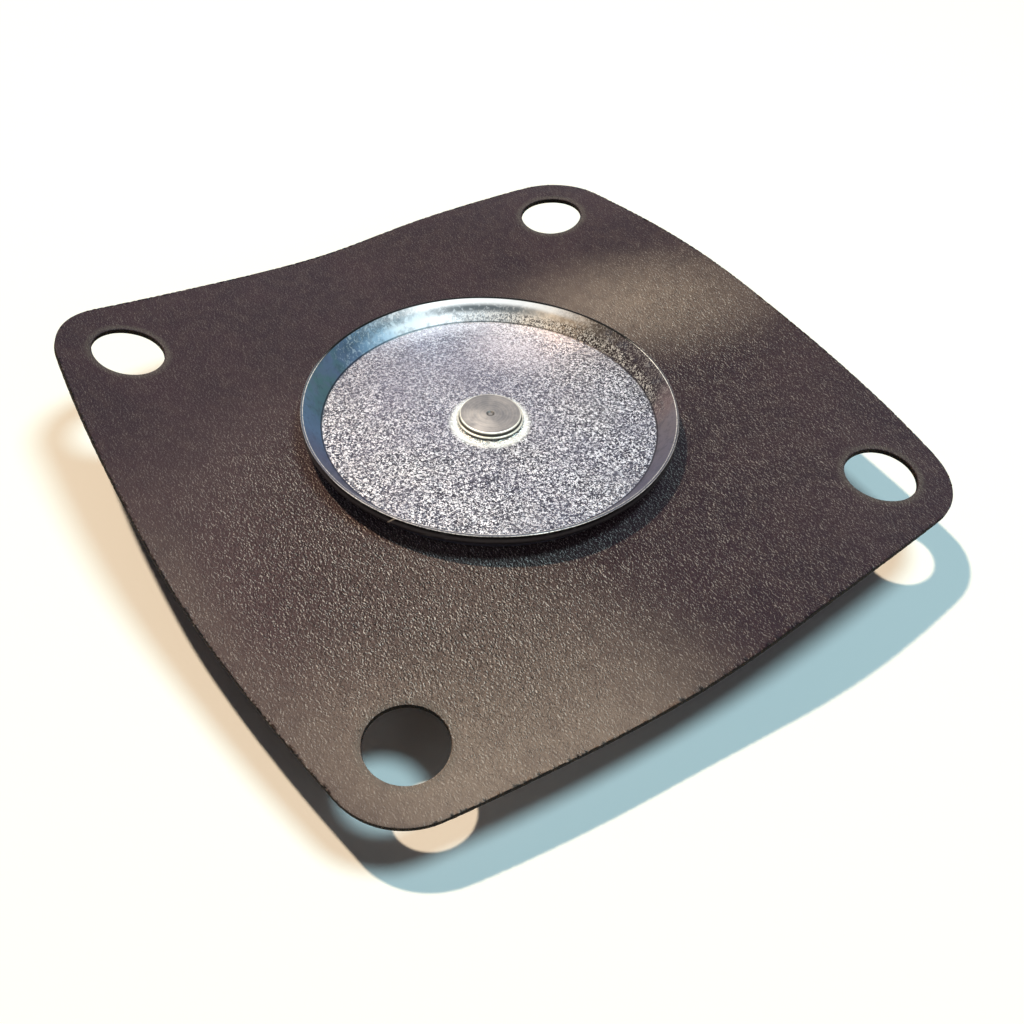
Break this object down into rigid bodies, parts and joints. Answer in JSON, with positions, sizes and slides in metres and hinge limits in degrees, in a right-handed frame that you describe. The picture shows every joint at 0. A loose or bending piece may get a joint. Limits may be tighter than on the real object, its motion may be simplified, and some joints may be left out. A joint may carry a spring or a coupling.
{
  "type": "pump diaphragm",
  "caption": "Square rubber-coated fabric diaphragm for a small pump, with a dished steel spring plate riveted to its middle and a button below.",
  "frame": {"origin": "centre of the pin's button end, which the part stands on", "axes": "+Z along the pin towards the spring plate; X and Y along the square of bolt holes"},
  "size_m": [0.0452, 0.0451, 0.0082],
  "materials": {
    "rubbered_cloth": "matt, finely pebbled",
    "blue_zinc": "grainy blue-passivated zinc plating",
    "plain_zinc": "satin zinc plating",
    "turned_steel": "fine turned"
  },
  "bodies": {
    "root": {"diaphragm_sheet": "rubbered_cloth", "spring_plate": "blue_zinc", "lower_plate": "plain_zinc", "pin": "turned_steel"}
  },
  "joints": []
}
